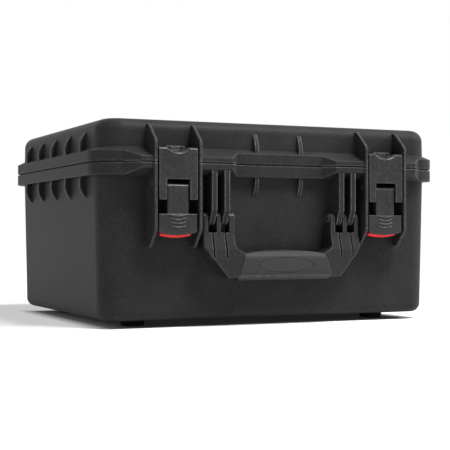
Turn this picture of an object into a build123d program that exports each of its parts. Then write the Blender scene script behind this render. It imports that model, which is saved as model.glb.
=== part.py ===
"""Hard moulded transport case for a stage laser.

Millimetres. X runs along the front, the front faces -Y and Z is up. The origin
is on the floor, in the middle of the closed case. The lid turns on two hinges
at the back, two over-centre latches and a swinging handle are on the front.
"""
from build123d import *
from math import radians, tan
import os

os.makedirs("parts", exist_ok=True)

# Overall sizes, taken over the rims where lid and base meet
case_width = 420.0
case_depth = 346.0
foot_height = 8.0
base_height = 166.0
lid_height = 46.5

# Moulded walls
wall = 4.0
rim_overhang = 7.5
draft = 1.2
rim_radius = 30.0
wall_radius = 26.0
base_edge_radius = 10.0
lid_edge_radius = 13.0
inner_edge_radius = 6.0

# Rims: a thick band all round, with a sloping shoulder above it on the lid
base_rim = 13.0
lid_rim = 12.0
shoulder_rise = 3.5
rim_gap = 1.0
rim_edge_radius = 1.2

# Thin ledges that stand out of the front rim and carry the latches and the handle
ledge_reach = 14.0
ledge_below = 6.5
ledge_above = 6.0
ledge_inside_arm = 4.0
ledge_inner_slant = 11.0
ledge_outer_slant = 14.0
ledge_edge_radius = 0.9

# Seal: a rubber ring in the lid's groove, pressed by a ridge on the base
groove_width = 5.0
groove_depth = 4.5
ridge_width = 2.4
ridge_height = 1.7
seal_gap = 0.3
seal_side_gap = 0.2

# Gussets under and over the rims
gusset_thickness = 4.6
side_gusset_pitch = 55.0
side_gusset_count = 5
front_gusset_x = 27.0
gusset_inset = 2.0
base_gusset_drop = 24.0
lid_gusset_rise = 22.5
front_gusset_drop = 21.0
front_gusset_bow = 1.5
side_gusset_bow = 3.5
gusset_root = 1.0

# Latches
latch_inset = 84.0
plate_side_gap = 2.0
fin_thickness = 3.2
fin_reach = 2.0
fin_low = 71.0
fin_taper = 18.0
fin_foot_reach = 16.0
lid_fin_height = 22.5
lid_fin_slope = 18.5
lid_fin_back = 21.0
fin_knee_radius = 7.0
fin_edge_radius = 0.8
catch_reach = 6.0
catch_height = 11.5
catch_ridge = 1.2
catch_pad_width = 21.0
catch_pad_top = 17.0
catch_pad_gap = 1.0

plate_width = 43.0
plate_thickness = 4.0
plate_top = 15.5
plate_front_gap = 0.5
plate_round = 3.2
leg_corner = 2.0
leg_below_boss = 3.0
window_width = 26.0
window_top = 17.7
notch_width = 24.0
notch_depth = 5.0
notch_shoulder = 4.0
hook_height = 4.5
hook_gap = 0.5
link_boss_radius = 4.0

tongue_width = 24.0
lever_pivot_below = 22.5
lever_pivot_back = 8.0
link_below_pivot = 9.5
link_behind_pivot = 1.5
tongue_top = 21.6
tongue_round = 5.0
tongue_thickness = 7.5
tongue_step = 0.5
tongue_back_inset = 2.0
tongue_edge_radius = 1.5
lever_setback = 1.5
grip_plate_top = 53.7
grip_plate_height = 22.3
grip_plate_depth = 8.0
grip_plate_sag = 2.5
grip_plate_corner = 2.0
grip_plate_edge = 1.0
grip_skin = 3.5
grip_wall = 2.6
grip_ridges = 4
grip_ridge_pitch = 3.9
grip_ridge_start = 0.7
grip_ridge_length = 17.0
grip_ridge_width = 1.2
grip_ridge_height = 0.8
grip_ridge_sag = 1.6

release_travel = 3.0
release_gap = 0.3
release_drop = 2.5
release_thickness = 4.0
release_side = 4.2

lever_pin_radius = 2.0
link_pin_radius = 1.75

# Handle and its lugs
handle_pivot_below = 57.8
handle_pivot_out = 1.5
arm_side_gap = 4.3
arm_width = 36.0
finger_end = 5.5
finger_middle = 4.5
finger_radius = 6.3
fork_depth = 15.5
lug_width = 6.2
lug_reach = 12.0
lug_radius = 7.4
lug_shoulder = 8.0
grip_drop = 66.8
arm_straight = 31.5
arm_corner_inset = 9.0
arm_corner_rise = 3.0
handle_front = 14.0
handle_back = 7.0
handle_bevel = 2.0
arm_neck = 18.0
arm_inner_round = 8.0
arm_outer_round = 5.0
arm_edge = 1.2
grip_top_inset = 11.3
grip_bottom_inset = 3.3
grip_height = 32.6
grip_crown = 4.0
grip_front = 15.0
grip_back = 8.0
grip_corner = 10.5
grip_end_bow = 1.5
core_margin = 6.0
core_gap = 0.1
badge_end_room = 12.7
badge_height = 17.3
badge_depth = 0.8
arm_groove_width = 1.6
arm_groove_depth = 1.2
arm_groove_length = 27.0
handle_pin_radius = 3.0
handle_pin_head = 4.4
handle_pin_head_length = 1.6

# Hinges
hinge_inset = 84.0
knuckle_length = 12.0
knuckle_gap = 0.4
knuckles = 5
barrel_radius = 7.5
hinge_pin_radius = 2.5
web_inset = 3.0
web_slope = 0.2

# Feet
foot_radius = 13.0
foot_inset_x = 59.5
foot_inset_y = 58.0
stem_radius = 4.0
stem_height = 2.5
stem_gap = 0.1
foot_edge_radius = 1.5

# Foam inserts
foam_gap = 0.6
foam_below_rim = 1.0
pocket_width = 300.0
pocket_depth = 230.0
pocket_radius = 20.0
pocket_floor = 25.0
lid_foam_thickness = 28.0

# Fits
pin_clearance = 0.05
pin_edge = 0.4

# Positions that follow from the sizes
floor_z = foot_height
parting_z = floor_z + base_height
base_top = parting_z - rim_gap / 2
lid_bottom = parting_z + rim_gap / 2
lid_top = parting_z + lid_height
rim_x = case_width / 2
rim_y = case_depth / 2
wall_x = rim_x - rim_overhang
wall_y = rim_y - rim_overhang
ledge_y = rim_y + ledge_reach
fin_y = ledge_y + fin_reach
plate_y = fin_y - plate_front_gap
hinge_y = fin_y - barrel_radius
hook_nose_y = -rim_y - catch_reach - hook_gap
hinge_x = rim_x - hinge_inset

latch_x = rim_x - latch_inset
fin_gap = plate_width + 2 * plate_side_gap
grip_plate_width = plate_width
lever_y = -(fin_y - lever_pivot_back)
lever_z = parting_z - lever_pivot_below
link_y = lever_y + link_behind_pivot
link_z = lever_z - link_below_pivot
grip_plate_front = fin_y - lever_setback
tongue_front = grip_plate_front - tongue_step
grip_top_z = parting_z - grip_plate_top
grip_low_z = grip_top_z - grip_plate_height

pivot_y = -(rim_y + handle_pivot_out)
pivot_z = parting_z - handle_pivot_below
grip_low = pivot_z - grip_drop
grip_middle_z = grip_low + grip_height / 2

# The handle fits between the latches, and its grip between its arms
arm_outer = latch_x - fin_gap / 2 - fin_thickness - arm_side_gap
arm_inner = arm_outer - arm_width
arm_corner_x = arm_inner + arm_corner_inset
grip_top_half = arm_inner - grip_top_inset
grip_bottom_half = arm_inner - grip_bottom_inset
badge_length = 2 * (grip_top_half - badge_end_room)
arm_middle = (arm_inner + arm_outer) / 2
lug_offset = (arm_outer - arm_inner - 2 * finger_end + finger_middle) / 4
hinge_length = knuckles * (knuckle_length + knuckle_gap) - knuckle_gap

# The ledges start beside the handle's arms and end where the rim's corners start
ledge_inner = arm_inner + ledge_inside_arm
ledge_outer = rim_x - rim_radius - ledge_outer_slant

sides = ((-1, "left"), (1, "right"))
foot_x = rim_x - foot_inset_x
foot_y = rim_y - foot_inset_y
rows = ((-foot_y, "front"), (foot_y, "rear"))
feet = [(side * foot_x, y, f"foot_{row}_{word}") for y, row in rows for side, word in sides]


def tub(half_width, half_depth, corner, rim_z, floor_z, edge_radius):
    """A rounded block that narrows by the draft from its rim to its floor."""
    with BuildPart() as block:
        with BuildSketch(Plane.XY.offset(rim_z)):
            RectangleRounded(2 * half_width, 2 * half_depth, corner)
        extrude(amount=floor_z - rim_z, taper=draft)
        far_face = block.faces().sort_by(Axis.Z)[0 if floor_z < rim_z else -1]
        fillet(far_face.edges(), edge_radius)
    return block.part


def rim(near_z, height):
    """The thick band round the edge of a shell, with its outer edges rounded."""
    with BuildPart() as band:
        with BuildSketch(Plane.XY.offset(near_z)):
            RectangleRounded(case_width, case_depth, rim_radius)
        extrude(amount=height)
        fillet(band.faces().filter_by(Axis.Z).edges(), rim_edge_radius)
    return band.part


def ledge(side, near_z, edge_z, far_z):
    """A ledge on the front rim: thin at its front edge, with slanted ends."""
    inner, outer = ledge_inner - ledge_inner_slant, ledge_outer + ledge_outer_slant
    outline = [
        (side * inner, -rim_y + wall),
        (side * inner, -rim_y),
        (side * ledge_inner, -ledge_y),
        (side * ledge_outer, -ledge_y),
        (side * outer, -rim_y),
        (side * outer, -rim_y + wall),
    ]
    section = [
        (-rim_y + wall, near_z),
        (-ledge_y, near_z),
        (-ledge_y, edge_z),
        (-rim_y, far_z),
        (-rim_y + wall, far_z),
    ]
    with BuildPart() as shelf:
        with BuildSketch(Plane.XY.offset(near_z)):
            Polygon(*outline, align=None)
        extrude(amount=far_z - near_z)
        with BuildSketch(Plane.YZ):
            Polygon(*section, align=None)
        extrude(amount=case_width / 2, both=True, mode=Mode.INTERSECT)
        fillet(shelf.faces().sort_by(Axis.Y)[0].edges(), ledge_edge_radius)
    return shelf.part


def fins(side, profile):
    """The two cheeks that stand on each side of a latch, with a rounded knee and edge."""
    inner = fin_gap / 2
    planes = [
        Plane.YZ.offset(side * latch_x - inner - fin_thickness),
        Plane.YZ.offset(side * latch_x + inner),
    ]
    parting_edge = profile[0][1]
    with BuildPart() as cheeks:
        with BuildSketch(*planes) as outline:
            Polygon(*profile, align=None)
            knees = [v for v in outline.vertices() if v.X < -wall_y and v.Y != parting_edge]
            fillet(knees, fin_knee_radius)
        extrude(amount=fin_thickness)
        rounded = cheeks.edges().filter_by(Axis.X, reverse=True)
        rounded = rounded.filter_by(lambda edge: edge.center().Y < -wall_y)
        rounded = rounded.filter_by(lambda edge: abs(edge.center().Z - parting_edge) > rim_gap)
        fillet(rounded, fin_edge_radius)
    return cheeks.part


def gussets(planes, points, bulge):
    """Thin webs between wall and rim with a bowed free edge."""
    root, edge, tip, foot = points
    with BuildPart() as webs:
        with BuildSketch(*planes):
            with BuildLine():
                Line(root, edge)
                ThreePointArc(edge, bulge, tip)
                Line(tip, foot)
                Line(foot, root)
            make_face()
        extrude(amount=gusset_thickness / 2, both=True)
    return webs.part


def side_gussets(edge_z, tip_z, root_z):
    """A row of gussets on the left wall; the right wall has its mirror image."""
    middle = (side_gusset_count - 1) / 2
    planes = [
        Plane.XZ.offset((middle - index) * side_gusset_pitch) for index in range(side_gusset_count)
    ]
    edge = (-rim_x + gusset_inset, edge_z)
    tip = (-wall_x, tip_z)
    bulge = ((edge[0] + tip[0]) / 2 - side_gusset_bow, (edge_z + tip_z) / 2)
    inside = -wall_x + wall / 2
    points = ((inside, root_z), edge, (tip[0] + gusset_root, tip_z), (inside, tip_z))
    return gussets(planes, points, bulge)


def front_gussets(edge_z, tip_z, root_z, facing):
    """Two small gussets in the middle of the front or back wall."""
    planes = [Plane.YZ.offset(-front_gusset_x), Plane.YZ.offset(front_gusset_x)]
    edge = (facing * (rim_y - gusset_inset), edge_z)
    tip = (facing * wall_y, tip_z)
    bulge = ((edge[0] + tip[0]) / 2 + facing * front_gusset_bow, (edge_z + tip_z) / 2)
    inside = facing * (wall_y - wall / 2)
    points = ((inside, root_z), edge, (tip[0] - facing * gusset_root, tip_z), (inside, tip_z))
    return gussets(planes, points, bulge)


def barrel_places(side, first):
    """Starting places along X of every second knuckle of one hinge."""
    start = side * hinge_x - hinge_length / 2
    return [start + index * (knuckle_length + knuckle_gap) for index in range(first, knuckles, 2)]


def barrels(places, near_z, far_z):
    """Knuckles round the hinge axis with the webs that carry them."""
    with BuildPart() as row:
        with BuildSketch(*[Plane.YZ.offset(place) for place in places]):
            with Locations((hinge_y, parting_z)):
                Circle(barrel_radius)
        extrude(amount=knuckle_length)
        web = [
            (rim_y - web_inset, near_z),
            (hinge_y, near_z),
            (hinge_y, far_z),
            (rim_y - web_inset, far_z + (near_z - far_z) * web_slope),
        ]
        with BuildSketch(*[Plane.YZ.offset(place) for place in places]):
            Polygon(*web, align=None)
        extrude(amount=knuckle_length)
    return row.part


# Base shell
base_outer = tub(wall_x, wall_y, wall_radius, base_top, floor_z, base_edge_radius)
base_hollow = tub(
    wall_x - wall, wall_y - wall, wall_radius - wall, base_top, floor_z + wall, inner_edge_radius
)
base_fin_profile = [
    (-wall_y + wall, base_top),
    (-fin_y, base_top),
    (-fin_y, parting_z - fin_low),
    (-fin_y + fin_foot_reach, parting_z - fin_low - fin_taper),
    (-wall_y + wall, parting_z - fin_low - fin_taper),
]
ridge_x = (rim_x + wall_x - wall) / 2
ridge_y = (rim_y + wall_y - wall) / 2
ridge_radius = (rim_radius + wall_radius - wall) / 2

with BuildPart() as base_shell:
    add(rim(base_top, -base_rim))
    add(base_outer)
    for side, word in sides:
        add(ledge(side, base_top, parting_z - ledge_below, parting_z - base_rim))
        add(fins(side, base_fin_profile))
        add(barrels(barrel_places(side, 0), base_top, parting_z - barrel_radius))
    gusset_edge = base_top - base_rim + rim_edge_radius
    row = side_gussets(gusset_edge, parting_z - base_rim - base_gusset_drop, base_top)
    add(row)
    add(row.mirror(Plane.YZ))
    for facing in (-1, 1):
        add(front_gussets(gusset_edge, parting_z - base_rim - front_gusset_drop, base_top, facing))
    # Lugs that carry the handle, hung under the ledges
    lug_profile = [
        (-wall_y + wall, parting_z - ledge_below),
        (pivot_y - lug_reach, parting_z - ledge_below),
        (pivot_y - lug_reach, pivot_z + lug_shoulder),
        (pivot_y - lug_radius, pivot_z),
        (pivot_y, pivot_z - lug_radius),
        (-wall_y + wall, pivot_z - lug_radius),
    ]
    for side, word in sides:
        places = [side * arm_middle + shift - lug_width / 2 for shift in (-lug_offset, lug_offset)]
        with BuildSketch(*[Plane.YZ.offset(place) for place in places]):
            Polygon(*lug_profile, align=None)
            with Locations((pivot_y, pivot_z)):
                Circle(lug_radius)
        extrude(amount=lug_width)
    # Pockets for the latches, open to the front between the cheeks
    for side, word in sides:
        with BuildSketch(Plane.XY.offset(base_top)):
            with Locations((side * latch_x, -(rim_y + catch_reach) - ledge_y)):
                Rectangle(fin_gap, 2 * ledge_y)
        extrude(amount=-base_rim - rim_gap, mode=Mode.SUBTRACT)
    add(base_hollow, mode=Mode.SUBTRACT)
    # Ridge that presses the seal
    with BuildSketch(Plane.XY.offset(base_top)):
        outer_radius = ridge_radius + ridge_width / 2
        RectangleRounded(2 * ridge_x + ridge_width, 2 * ridge_y + ridge_width, outer_radius)
        RectangleRounded(
            2 * ridge_x - ridge_width, 2 * ridge_y - ridge_width, outer_radius - ridge_width,
            mode=Mode.SUBTRACT,
        )
    extrude(amount=ridge_height)
    # Holes for the pins of the hinges, the latches and the handle
    for side, word in sides:
        with BuildSketch(Plane.YZ.offset(side * hinge_x)):
            with Locations((hinge_y, parting_z)):
                Circle(hinge_pin_radius + pin_clearance)
        extrude(amount=hinge_length / 2, both=True, mode=Mode.SUBTRACT)
        with BuildSketch(Plane.YZ.offset(side * latch_x)):
            with Locations((lever_y, lever_z)):
                Circle(lever_pin_radius + pin_clearance)
        extrude(amount=fin_gap / 2 + fin_thickness, both=True, mode=Mode.SUBTRACT)
        with BuildSketch(Plane.YZ.offset(side * arm_middle)):
            with Locations((pivot_y, pivot_z)):
                Circle(handle_pin_radius + pin_clearance)
        extrude(amount=arm_middle - arm_inner, both=True, mode=Mode.SUBTRACT)
    # Blind sockets for the stems of the feet
    with BuildSketch(Plane.XY.offset(floor_z)):
        with Locations(*[(x, y) for x, y, name in feet]):
            Circle(stem_radius + stem_gap)
    extrude(amount=stem_height + stem_gap, mode=Mode.SUBTRACT)
base_shell.part.label = "base_shell"
export_step(base_shell.part, "parts/base_shell.step")

# Lid shell
lid_outer = tub(wall_x, wall_y, wall_radius, lid_bottom, lid_top, lid_edge_radius)
lid_hollow = tub(
    wall_x - wall, wall_y - wall, wall_radius - wall, lid_bottom, lid_top - wall, inner_edge_radius
)
lid_fin_profile = [
    (-wall_y + wall, lid_bottom),
    (-fin_y, lid_bottom),
    (-fin_y, parting_z + lid_fin_height),
    (-fin_y + lid_fin_back, parting_z + lid_fin_height + lid_fin_slope),
    (-wall_y + wall, parting_z + lid_fin_height + lid_fin_slope),
]

with BuildPart() as lid_shell:
    add(rim(lid_bottom, lid_rim))
    # Shoulder that slopes from the rim's edge up to the wall
    edge = rim_edge_radius
    with BuildSketch(Plane.XY.offset(lid_bottom + lid_rim)):
        RectangleRounded(case_width - 2 * edge, case_depth - 2 * edge, rim_radius - edge)
    with BuildSketch(Plane.XY.offset(lid_bottom + lid_rim + shoulder_rise)):
        RectangleRounded(2 * wall_x, 2 * wall_y, wall_radius)
    loft(ruled=True)
    add(lid_outer)
    for side, word in sides:
        add(ledge(side, lid_bottom, parting_z + ledge_above, parting_z + lid_rim))
        add(fins(side, lid_fin_profile))
        add(barrels(barrel_places(side, 1), lid_bottom, parting_z + barrel_radius))
    gusset_tip = parting_z + lid_rim + lid_gusset_rise
    row = side_gussets(lid_bottom + lid_rim, gusset_tip, lid_bottom)
    add(row)
    add(row.mirror(Plane.YZ))
    for facing in (-1, 1):
        add(front_gussets(lid_bottom + lid_rim, gusset_tip, lid_bottom, facing))
    # Pockets for the latches, and the catches that their hooks hold
    for side, word in sides:
        with BuildSketch(Plane.XY.offset(lid_bottom)):
            with Locations((side * latch_x, -(rim_y + catch_reach) - ledge_y)):
                Rectangle(fin_gap, 2 * ledge_y)
        extrude(amount=lid_rim, mode=Mode.SUBTRACT)
        catch_profile = [
            (-rim_y + wall, lid_bottom),
            (-rim_y - catch_reach, lid_bottom),
            (-rim_y - catch_reach, parting_z + catch_height),
            (-rim_y - catch_reach + 2 * catch_ridge, parting_z + catch_height),
            (-rim_y, parting_z + catch_height - 2 * catch_ridge),
            (-rim_y + wall, parting_z + catch_height - 2 * catch_ridge),
        ]
        with BuildSketch(Plane.YZ.offset(side * latch_x)):
            Polygon(*catch_profile, align=None)
        extrude(amount=fin_gap / 2, both=True)
        # Pad for the thumb, that shows through the plate's notch
        pad_front = -hook_nose_y - catch_pad_gap
        with BuildSketch(Plane.XY.offset(lid_bottom + lid_rim)):
            with Locations((side * latch_x, -(pad_front + wall_y - wall) / 2)):
                Rectangle(catch_pad_width, pad_front - wall_y + wall)
        extrude(amount=catch_pad_top - lid_rim)
    add(lid_hollow, mode=Mode.SUBTRACT)
    # Groove that holds the seal
    with BuildSketch(Plane.XY.offset(lid_bottom)):
        outer_radius = ridge_radius + groove_width / 2
        RectangleRounded(2 * ridge_x + groove_width, 2 * ridge_y + groove_width, outer_radius)
        RectangleRounded(
            2 * ridge_x - groove_width, 2 * ridge_y - groove_width, outer_radius - groove_width,
            mode=Mode.SUBTRACT,
        )
    extrude(amount=groove_depth, mode=Mode.SUBTRACT)
    for side, word in sides:
        with BuildSketch(Plane.YZ.offset(side * hinge_x)):
            with Locations((hinge_y, parting_z)):
                Circle(hinge_pin_radius + pin_clearance)
        extrude(amount=hinge_length / 2, both=True, mode=Mode.SUBTRACT)
lid_shell.part.label = "lid_shell"
export_step(lid_shell.part, "parts/lid_shell.step")

# Seal in the lid's groove; the base's ridge ends just under it
seal_low = base_top + ridge_height + seal_gap
seal_half = groove_width / 2 - seal_side_gap
with BuildPart() as rim_seal:
    with BuildSketch(Plane.XY.offset(seal_low)):
        RectangleRounded(2 * (ridge_x + seal_half), 2 * (ridge_y + seal_half), ridge_radius + seal_half)
        RectangleRounded(
            2 * (ridge_x - seal_half), 2 * (ridge_y - seal_half), ridge_radius - seal_half,
            mode=Mode.SUBTRACT,
        )
    extrude(amount=lid_bottom + groove_depth - seal_low)
rim_seal.part.label = "rim_seal"
export_step(rim_seal.part, "parts/rim_seal.step")

# Hinge pins, held by the knuckles of base and lid in turn
for side, word in sides:
    with BuildPart() as hinge_pin:
        with BuildSketch(Plane.YZ.offset(side * hinge_x)):
            with Locations((hinge_y, parting_z)):
                Circle(hinge_pin_radius)
        extrude(amount=hinge_length / 2, both=True)
        chamfer(hinge_pin.edges().filter_by(GeomType.CIRCLE), pin_edge)
    hinge_pin.part.label = f"hinge_pin_{word}"
    export_step(hinge_pin.part, f"parts/hinge_pin_{word}.step")

# Rubber feet with a stem that plugs into the floor
for x, y, name in feet:
    with BuildPart() as foot:
        with BuildSketch(Plane.XY):
            with Locations((x, y)):
                Circle(foot_radius)
        extrude(amount=foot_height)
        fillet(foot.faces().sort_by(Axis.Z)[0].edges(), foot_edge_radius)
        with BuildSketch(Plane.XY.offset(foot_height)):
            with Locations((x, y)):
                Circle(stem_radius)
        extrude(amount=stem_height)
    foot.part.label = name
    export_step(foot.part, f"parts/{name}.step")

# Foam inserts: a block with a pocket in the base, a pad in the lid
inside_x = wall_x - wall - foam_gap
inside_y = wall_y - wall - foam_gap
inside_radius = wall_radius - wall - foam_gap
foam_top = base_top - foam_below_rim
foam_low = floor_z + wall + foam_gap
foam_block = tub(inside_x, inside_y, inside_radius, foam_top, foam_low, inner_edge_radius)
with BuildPart() as base_foam:
    add(foam_block)
    with BuildSketch(Plane.XY.offset(foam_top)):
        RectangleRounded(pocket_width, pocket_depth, pocket_radius)
    extrude(amount=-(foam_top - floor_z - wall - pocket_floor), mode=Mode.SUBTRACT)
base_foam.part.label = "base_foam"
export_step(base_foam.part, "parts/base_foam.step")

lid_foam_low = lid_top - wall - foam_gap - lid_foam_thickness
shrink = (lid_foam_low - lid_bottom) * tan(radians(draft))
lid_foam = tub(
    inside_x - shrink, inside_y - shrink, inside_radius, lid_foam_low,
    lid_top - wall - foam_gap, inner_edge_radius,
)
lid_foam.label = "lid_foam"
export_step(lid_foam, "parts/lid_foam.step")

# Handle: a stiff frame with forked arms, and a soft grip moulded round its bar
handle_outline = [
    (arm_inner, pivot_z + finger_radius),
    (arm_outer, pivot_z + finger_radius),
    (arm_outer, pivot_z - arm_straight),
    (arm_corner_x, grip_low + arm_corner_rise),
    (0, grip_low + arm_corner_rise),
    (0, grip_low + grip_height - grip_crown),
    (grip_top_half, grip_low + grip_height - grip_crown),
    (arm_inner, pivot_z - arm_straight),
]
handle_section = [
    (pivot_y - finger_radius, pivot_z),
    (pivot_y - finger_radius, pivot_z - arm_neck),
    (-rim_y - handle_front + handle_bevel / 2, grip_low + grip_height),
    (-rim_y - handle_front, grip_low + grip_corner / 2),
    (-rim_y - handle_front + handle_bevel, grip_low),
    (-rim_y + handle_back - handle_bevel, grip_low),
    (-rim_y + handle_back, grip_low + grip_corner / 2),
    (-rim_y + handle_back, grip_low + grip_height),
    (pivot_y + finger_radius, pivot_z - arm_neck),
    (pivot_y + finger_radius, pivot_z),
]


# Grip: slanted bowed ends and a crowned top in front view, a rounded section
grip_top = grip_low + grip_height
grip_shoulder = grip_top - grip_crown
end_middle = ((grip_top_half + grip_bottom_half) / 2 + grip_end_bow, (grip_shoulder + grip_low) / 2)
grip_centre = (-rim_y + (grip_back - grip_front) / 2, grip_middle_z)
grip_depth = grip_front + grip_back
core_corner = grip_corner - core_margin
with BuildPart() as grip_solid:
    with BuildSketch(Plane.XZ):
        with BuildLine():
            ThreePointArc((-grip_top_half, grip_shoulder), (0, grip_top), (grip_top_half, grip_shoulder))
            ThreePointArc((grip_top_half, grip_shoulder), end_middle, (grip_bottom_half, grip_low))
            Line((grip_bottom_half, grip_low), (-grip_bottom_half, grip_low))
            left_middle = (-end_middle[0], end_middle[1])
            ThreePointArc((-grip_bottom_half, grip_low), left_middle, (-grip_top_half, grip_shoulder))
        make_face()
    extrude(amount=case_depth)
    with BuildSketch(Plane.YZ):
        with Locations(grip_centre):
            RectangleRounded(grip_depth, grip_height, grip_corner)
    extrude(amount=arm_outer, both=True, mode=Mode.INTERSECT)

with BuildPart() as handle_frame:
    with BuildSketch(Plane.XZ) as outline:
        Polygon(*handle_outline, align=None)
        inner_bend = outline.vertices().sort_by_distance((arm_inner, pivot_z - arm_straight))[0]
        fillet(inner_bend, arm_inner_round)
        outer_bend = outline.vertices().sort_by_distance((arm_outer, pivot_z - arm_straight))[0]
        fillet(outer_bend, arm_outer_round)
        mirror(about=Plane.YZ)
    extrude(amount=case_depth)
    with BuildSketch(Plane.YZ):
        Polygon(*handle_section, align=None)
        with Locations((pivot_y, pivot_z)):
            Circle(finger_radius)
    extrude(amount=arm_outer, both=True, mode=Mode.INTERSECT)
    # Softened outer edges of the arms
    outer_faces = handle_frame.faces().filter_by(Axis.X).sort_by(Axis.X)
    chamfer(outer_faces[0].edges() + outer_faces[-1].edges(), arm_edge)
    # Room for the grip round the bar
    add(grip_solid.part, mode=Mode.SUBTRACT)
    with BuildSketch(Plane.YZ):
        with Locations(grip_centre):
            core_depth, core_height = grip_depth - 2 * core_margin, grip_height - 2 * core_margin
            RectangleRounded(core_depth, core_height, core_corner)
    extrude(amount=grip_bottom_half + grip_end_bow, both=True)
    # Fork: two slots in each arm for the lugs, and shallow grooves that run on below them
    slot = (arm_outer - arm_inner - 2 * finger_end - finger_middle) / 2
    for side, word in sides:
        for shift in (-lug_offset, lug_offset):
            with BuildSketch(Plane.XZ):
                with Locations((side * arm_middle + shift, pivot_z)):
                    Rectangle(slot, 2 * fork_depth)
            extrude(amount=case_depth, mode=Mode.SUBTRACT)
            groove_z = pivot_z - fork_depth - arm_groove_length / 2
            with BuildSketch(Plane.XZ.offset(-pivot_y + finger_radius - arm_groove_depth)):
                with Locations((side * arm_middle + shift, groove_z)):
                    Rectangle(arm_groove_width, arm_groove_length)
            extrude(amount=ledge_reach, mode=Mode.SUBTRACT)
        with BuildSketch(Plane.YZ.offset(side * arm_middle)):
            with Locations((pivot_y, pivot_z)):
                Circle(handle_pin_radius + pin_clearance)
        extrude(amount=arm_outer - arm_inner, both=True, mode=Mode.SUBTRACT)
handle_frame.part.label = "handle_frame"
export_step(handle_frame.part, "parts/handle_frame.step")

with BuildPart() as handle_grip:
    add(grip_solid.part)
    with BuildSketch(Plane.YZ):
        with Locations(grip_centre):
            hole = core_margin - core_gap
            RectangleRounded(grip_depth - 2 * hole, grip_height - 2 * hole, core_corner + core_gap)
    extrude(amount=arm_outer, both=True, mode=Mode.SUBTRACT)
    # Bare oval recess in the front of the grip
    with BuildSketch(Plane.XZ.offset(rim_y + grip_front - badge_depth)):
        with Locations((0, grip_middle_z)):
            SlotOverall(badge_length, badge_height)
    extrude(amount=badge_depth, mode=Mode.SUBTRACT)
handle_grip.part.label = "handle_grip"
export_step(handle_grip.part, "parts/handle_grip.step")

# Handle pins, with a head on the inner side of each arm
for side, word in sides:
    inner = side * (arm_inner - handle_pin_head_length)
    with BuildPart() as handle_pin:
        with BuildSketch(Plane.YZ.offset(inner)):
            with Locations((pivot_y, pivot_z)):
                Circle(handle_pin_radius)
        extrude(amount=side * (arm_outer - arm_inner + handle_pin_head_length))
        with BuildSketch(Plane.YZ.offset(inner)):
            with Locations((pivot_y, pivot_z)):
                Circle(handle_pin_head)
        extrude(amount=side * (handle_pin_head_length - pin_clearance))
    handle_pin.part.label = f"handle_pin_{word}"
    export_step(handle_pin.part, f"parts/handle_pin_{word}.step")

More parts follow.
